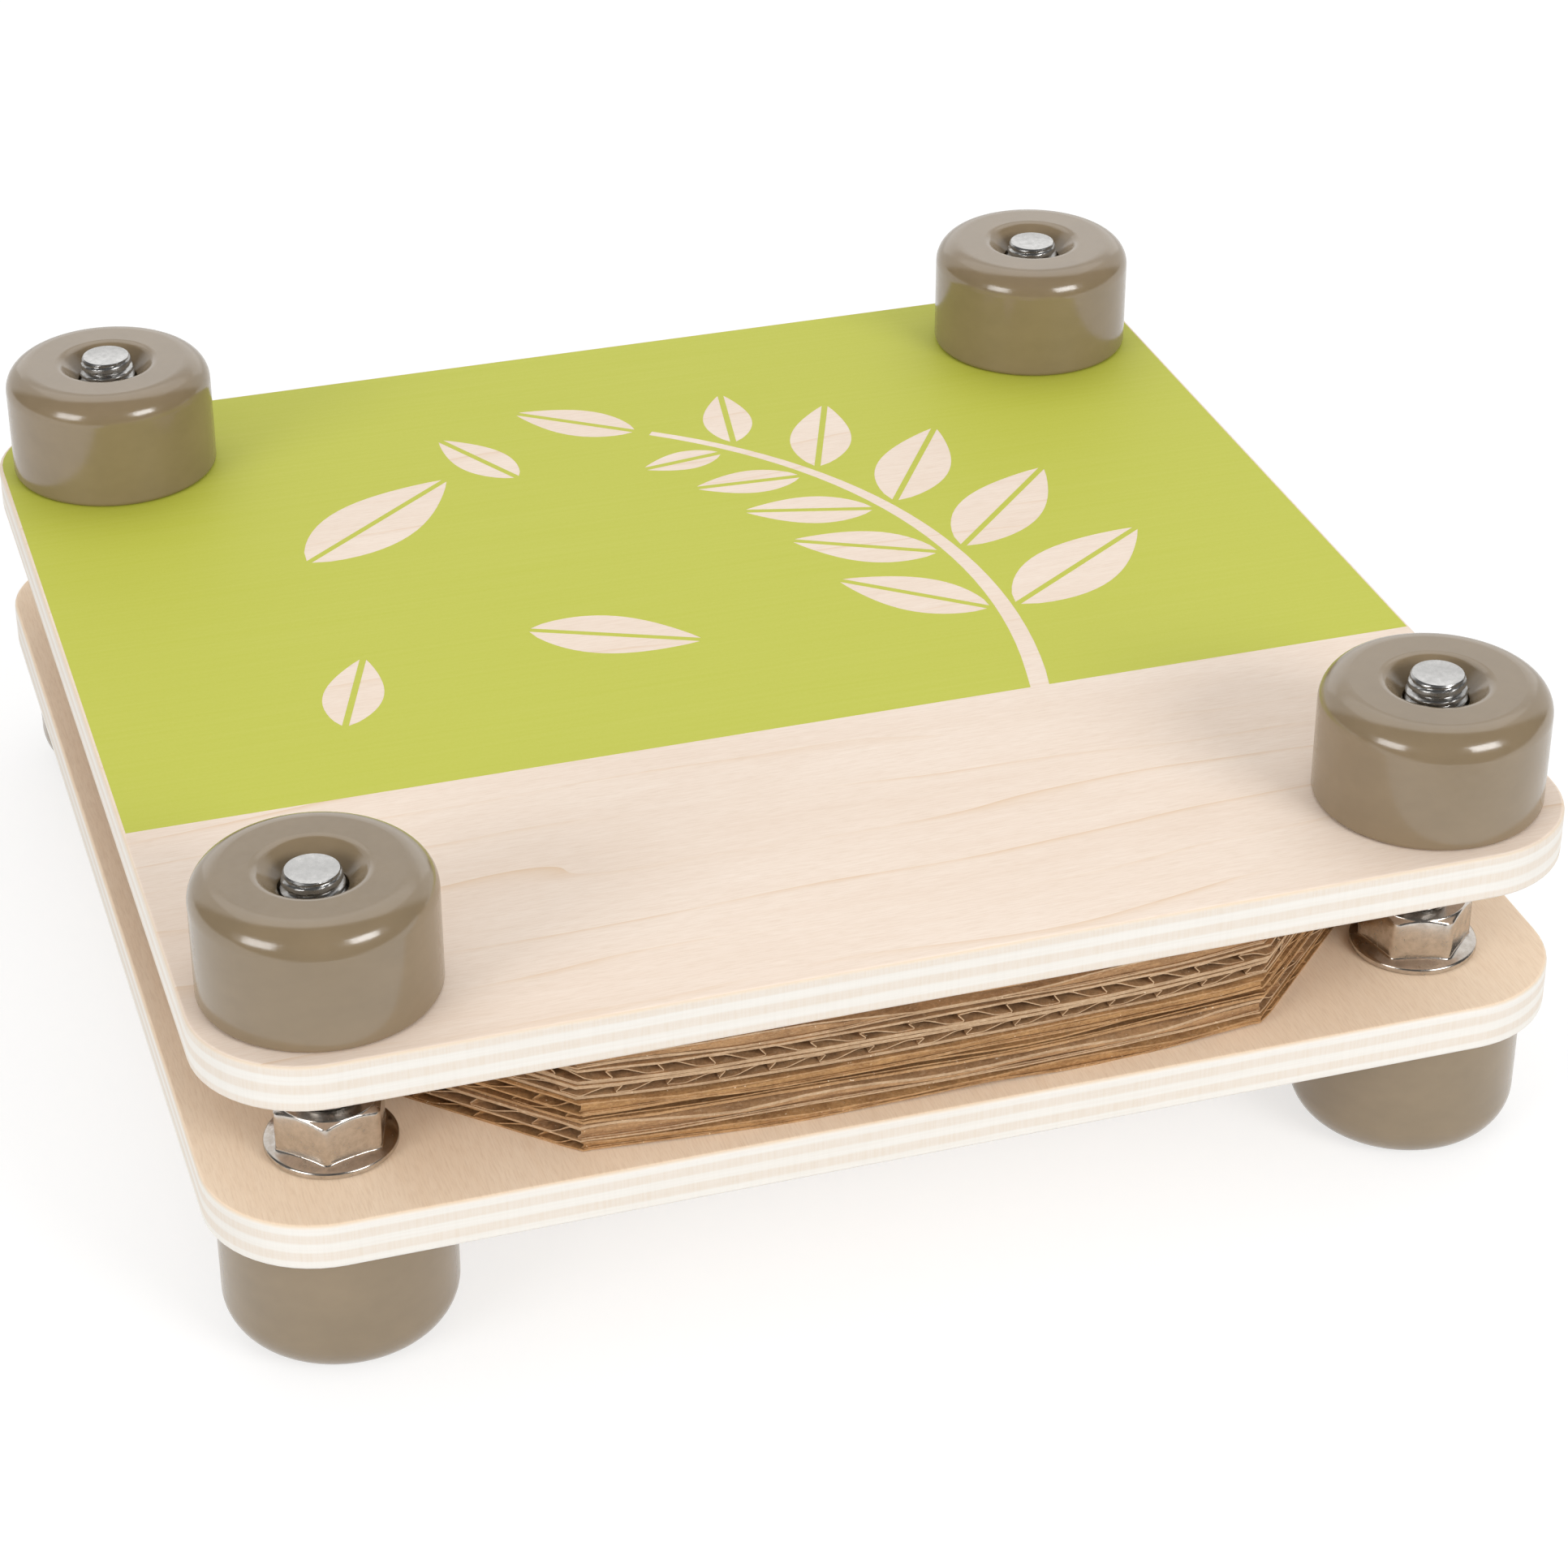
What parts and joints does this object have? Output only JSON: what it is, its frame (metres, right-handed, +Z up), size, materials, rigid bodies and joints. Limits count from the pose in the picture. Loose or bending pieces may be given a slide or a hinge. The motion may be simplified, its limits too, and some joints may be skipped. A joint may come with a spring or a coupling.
{
  "type": "flower press",
  "caption": "Square plywood flower press on turned feet: knobs on bolts squeeze a stack of corrugated cardboard sheets between the boards.",
  "frame": {"origin": "on the floor under the middle of the press", "axes": "+Z up along the bolts, +X to the right along the front edge, +Y to the back"},
  "size_m": [0.18, 0.18, 0.067],
  "materials": {
    "plywood": "satin",
    "printed_plywood": "satin",
    "painted_wood": "satin",
    "steel": "satin",
    "nickel": "polished",
    "insert_metal": "satin",
    "cardboard": "matte"
  },
  "bodies": {
    "base": {"bottom_board": "plywood", "foot_front_left": "painted_wood", "bolt_front_left": "steel", "flange_nut_front_left": "nickel", "foot_front_right": "painted_wood", "bolt_front_right": "steel", "flange_nut_front_right": "nickel", "foot_back_left": "painted_wood", "bolt_back_left": "steel", "flange_nut_back_left": "nickel", "foot_back_right": "painted_wood", "bolt_back_right": "steel", "flange_nut_back_right": "nickel"},
    "top_board": {"top_board": "printed_plywood"},
    "knob_front_left": {"knob_front_left": "painted_wood", "knob_insert_front_left": "insert_metal"},
    "knob_front_right": {"knob_front_right": "painted_wood", "knob_insert_front_right": "insert_metal"},
    "knob_back_left": {"knob_back_left": "painted_wood", "knob_insert_back_left": "insert_metal"},
    "knob_back_right": {"knob_back_right": "painted_wood", "knob_insert_back_right": "insert_metal"},
    "cardboard_sheet_1": {"cardboard_sheet_1": "cardboard"},
    "cardboard_sheet_2": {"cardboard_sheet_2": "cardboard"},
    "cardboard_sheet_3": {"cardboard_sheet_3": "cardboard"},
    "cardboard_sheet_4": {"cardboard_sheet_4": "cardboard"},
    "cardboard_sheet_5": {"cardboard_sheet_5": "cardboard"},
    "cardboard_sheet_6": {"cardboard_sheet_6": "cardboard"},
    "cardboard_sheet_7": {"cardboard_sheet_7": "cardboard"},
    "cardboard_sheet_8": {"cardboard_sheet_8": "cardboard"}
  },
  "joints": [
    {"name": "top_board_lift", "type": "slide", "parent": "base", "child": "top_board", "axis": [0, 0, 1], "range_m": [0, 0.012]},
    {"name": "knob_front_left_turn", "type": "hinge", "parent": "top_board", "child": "knob_front_left", "pos_m": [-0.073, -0.073, 0.0493], "axis": [0, 0, 1], "range_deg": [0, 3456]},
    {"name": "knob_front_right_turn", "type": "hinge", "parent": "top_board", "child": "knob_front_right", "pos_m": [0.073, -0.073, 0.0493], "axis": [0, 0, 1], "range_deg": [0, 3456]},
    {"name": "knob_back_left_turn", "type": "hinge", "parent": "top_board", "child": "knob_back_left", "pos_m": [-0.073, 0.073, 0.0493], "axis": [0, 0, 1], "range_deg": [0, 3456]},
    {"name": "knob_back_right_turn", "type": "hinge", "parent": "top_board", "child": "knob_back_right", "pos_m": [0.073, 0.073, 0.0493], "axis": [0, 0, 1], "range_deg": [0, 3456]},
    {"name": "cardboard_sheet_1_lift", "type": "slide", "parent": "base", "child": "cardboard_sheet_1", "axis": [0, 0, 1], "range_m": [0, 0.00133]},
    {"name": "cardboard_sheet_2_lift", "type": "slide", "parent": "base", "child": "cardboard_sheet_2", "axis": [0, 0, 1], "range_m": [0, 0.00267]},
    {"name": "cardboard_sheet_3_lift", "type": "slide", "parent": "base", "child": "cardboard_sheet_3", "axis": [0, 0, 1], "range_m": [0, 0.004]},
    {"name": "cardboard_sheet_4_lift", "type": "slide", "parent": "base", "child": "cardboard_sheet_4", "axis": [0, 0, 1], "range_m": [0, 0.00533]},
    {"name": "cardboard_sheet_5_lift", "type": "slide", "parent": "base", "child": "cardboard_sheet_5", "axis": [0, 0, 1], "range_m": [0, 0.00667]},
    {"name": "cardboard_sheet_6_lift", "type": "slide", "parent": "base", "child": "cardboard_sheet_6", "axis": [0, 0, 1], "range_m": [0, 0.008]},
    {"name": "cardboard_sheet_7_lift", "type": "slide", "parent": "base", "child": "cardboard_sheet_7", "axis": [0, 0, 1], "range_m": [0, 0.00933]},
    {"name": "cardboard_sheet_8_lift", "type": "slide", "parent": "base", "child": "cardboard_sheet_8", "axis": [0, 0, 1], "range_m": [0, 0.01067]}
  ],
  "couplings": [
    {"joint": "top_board_lift", "follows": "knob_front_left_turn", "m_per_rad": 0.00019894},
    {"joint": "knob_front_right_turn", "follows": "knob_front_left_turn", "ratio": 1},
    {"joint": "knob_back_left_turn", "follows": "knob_front_left_turn", "ratio": 1},
    {"joint": "knob_back_right_turn", "follows": "knob_front_left_turn", "ratio": 1},
    {"joint": "cardboard_sheet_1_lift", "follows": "knob_front_left_turn", "m_per_rad": 0.000022105},
    {"joint": "cardboard_sheet_2_lift", "follows": "knob_front_left_turn", "m_per_rad": 0.00004421},
    {"joint": "cardboard_sheet_3_lift", "follows": "knob_front_left_turn", "m_per_rad": 0.000066315},
    {"joint": "cardboard_sheet_4_lift", "follows": "knob_front_left_turn", "m_per_rad": 0.000088419},
    {"joint": "cardboard_sheet_5_lift", "follows": "knob_front_left_turn", "m_per_rad": 0.00011052},
    {"joint": "cardboard_sheet_6_lift", "follows": "knob_front_left_turn", "m_per_rad": 0.00013263},
    {"joint": "cardboard_sheet_7_lift", "follows": "knob_front_left_turn", "m_per_rad": 0.00015473},
    {"joint": "cardboard_sheet_8_lift", "follows": "knob_front_left_turn", "m_per_rad": 0.00017684}
  ]
}
